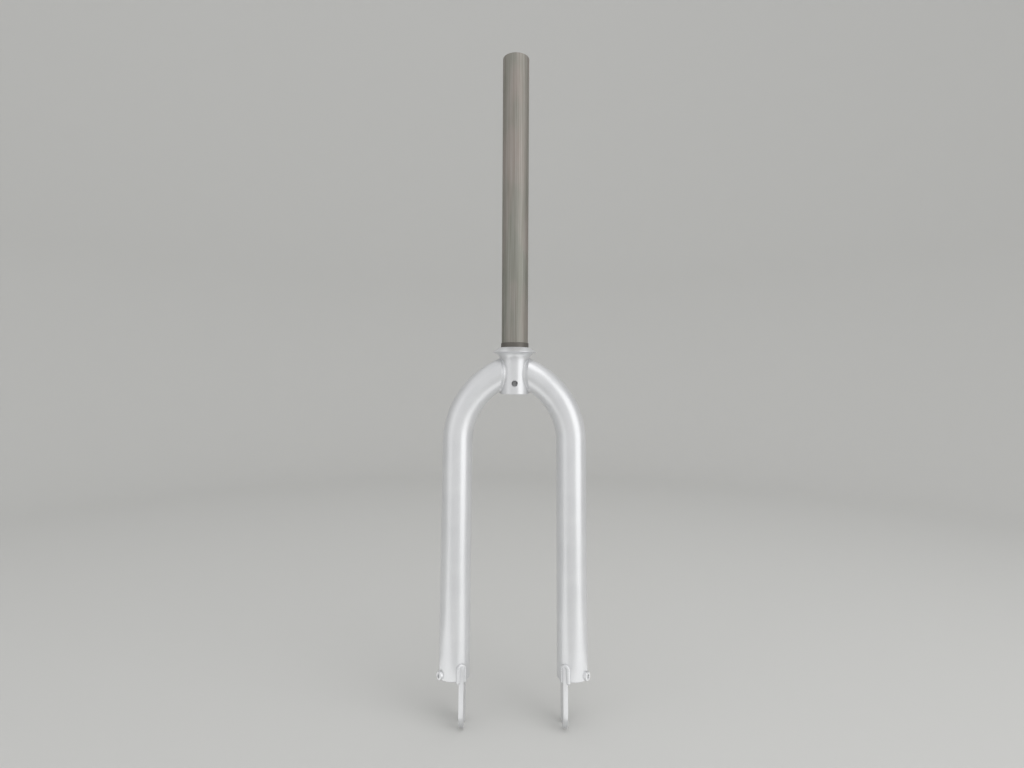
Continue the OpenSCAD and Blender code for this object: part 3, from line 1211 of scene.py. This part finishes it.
@dataclass
class Studio:
    """The floor, the lamps and the camera."""

    paper: StudioPaper = StudioPaper()
    floor_r: float = 1.5
    sweep_r: float = 0.9
    wall_top: float = 2.6
    sweep_steps: int = 24
    round_steps: int = 96
    # The sweep starts to rise this far in front of the fork, as the sine of the way round
    rise_from: float = 0.3
    floor_gap_mm: float = 0.5
    world_colour: str = "#f2f2f2"
    world_strength: float = 0.9
    # The camera's place and roll were found by fitting the fork's outline in the photograph
    camera_mm: tuple[float, float, float] = (-2.8, -610.0, -39.4)
    roll_deg: float = 0.28
    focal_px: float = 560.0
    image_w_px: float = 1024.0
    sensor_mm: float = 36.0
    clip_m: tuple[float, float] = (0.01, 20.0)
    lamps: tuple[Lamp, ...] = (
        Lamp("key_softbox", (1.09, -0.88, 0.2), (0.0, 0.0, -0.05), (1.1, 1.5), 1.05),
        Lamp("fill_softbox", (-1.09, -0.88, 0.2), (0.0, 0.0, -0.05), (0.7, 1.5), 0.3),
        Lamp("top_softbox", (0.35, -0.6, 1.4), (0.0, 0.0, 0.0), (1.1, 1.1), 1.2),
        # Two light panels lie on the floor outside the picture and carry the highlights on down
        Lamp("key_panel", (0.5, -0.4, -0.387), (0.5, -0.4, 0.0), (0.3, 1.1), 0.65, -51.0),
        Lamp("fill_panel", (-0.5, -0.4, -0.387), (-0.5, -0.4, 0.0), (0.3, 1.1), 0.65, 51.0),
    )

    def floor(self) -> None:
        """Makes the round sweep of paper under the fork, flat in front and risen behind."""
        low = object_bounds()[0].z - self.floor_gap_mm * MM
        section = [(0.0, low), (self.floor_r, low)]
        centre = (self.floor_r, low + self.sweep_r)
        section += arc(centre, self.sweep_r, -90.0, 0.0, self.sweep_steps)[1:]
        section.append((self.floor_r + self.sweep_r, self.wall_top))
        steps = self.round_steps
        points, faces = [Vector((0.0, 0.0, low))], []
        width = len(section) - 1
        for i in range(steps):
            angle = math.tau * i / steps
            share = (math.sin(angle) + self.rise_from) / (1 - self.rise_from)
            share = min(1.0, max(0.0, share))
            rise = share * share * (3 - 2 * share)
            points += [Vector((r * math.cos(angle), r * math.sin(angle), low + (z - low) * rise))
                       for r, z in section[1:]]
        for i in range(steps):
            here, there = 1 + i * width, 1 + (i + 1) % steps * width
            faces.append((0, here, there))
            faces += [(here + j, here + j + 1, there + j + 1, there + j) for j in range(width - 1)]
        mesh = bpy.data.meshes.new("studio_sweep")
        mesh.from_pydata([tuple(p) for p in points], [], faces)
        mesh.shade_smooth()
        mesh.materials.append(make_material("studio_paper", self.paper.surface))
        link_object("studio_sweep", mesh)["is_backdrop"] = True

    def world(self) -> None:
        """Fills the room with plain pale light."""
        world = bpy.data.worlds.new("studio_air")
        world.use_nodes = True
        world.node_tree.nodes.clear()
        glow = add(world.node_tree, "ShaderNodeBackground", {}, {
            "Color": linear(self.world_colour), "Strength": self.world_strength})
        add(world.node_tree, "ShaderNodeOutputWorld", {}, {"Surface": glow.outputs[0]})
        bpy.context.scene.world = world

    def camera(self) -> None:
        """Places the camera at the photograph's viewing angle."""
        data = bpy.data.cameras.new("camera")
        data.sensor_width = self.sensor_mm
        data.lens = self.focal_px * self.sensor_mm / self.image_w_px
        data.clip_start, data.clip_end = self.clip_m
        camera = link_object("camera", data)
        camera.matrix_world = (
            Matrix.Translation(Vector(self.camera_mm) * MM)
            @ Matrix.Rotation(math.radians(-self.roll_deg), 4, "Y")
            @ Matrix.Rotation(math.pi / 2, 4, "X"))
        bpy.context.scene.camera = camera

    def build(self) -> None:
        """Makes the whole room."""
        self.camera()
        self.floor()
        self.world()
        for lamp in self.lamps:
            lamp.build()
        bpy.context.scene.view_settings.view_transform = "Standard"


def corners() -> list[list[float]]:
    """The shown object's box as plain lists of numbers."""
    return [list(corner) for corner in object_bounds()]


def main() -> None:
    """Builds the fork's dress piece by piece, then the room."""
    logging.basicConfig(level=logging.INFO, format="%(name)s: %(message)s")
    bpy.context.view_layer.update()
    layout = ForkLayout()
    lacquer = make_material("silver_metallic_lacquer", SilverLacquer().surface)
    ripples, thread = Ripples(), Thread()
    SteererTube().build()
    CrownRaceRing(layout).build(lacquer)
    for side in Side:
        Blade(layout).build(side, lacquer)
        CrownWeld(layout).build(side, ripples, lacquer)
        Dropout(layout).build(side, lacquer)
        DropoutWeld(layout).build(side, ripples, lacquer)
        MudguardBoss(layout).build(side, thread, lacquer)
    Studio().build()


if __name__ == "__main__":
    main()
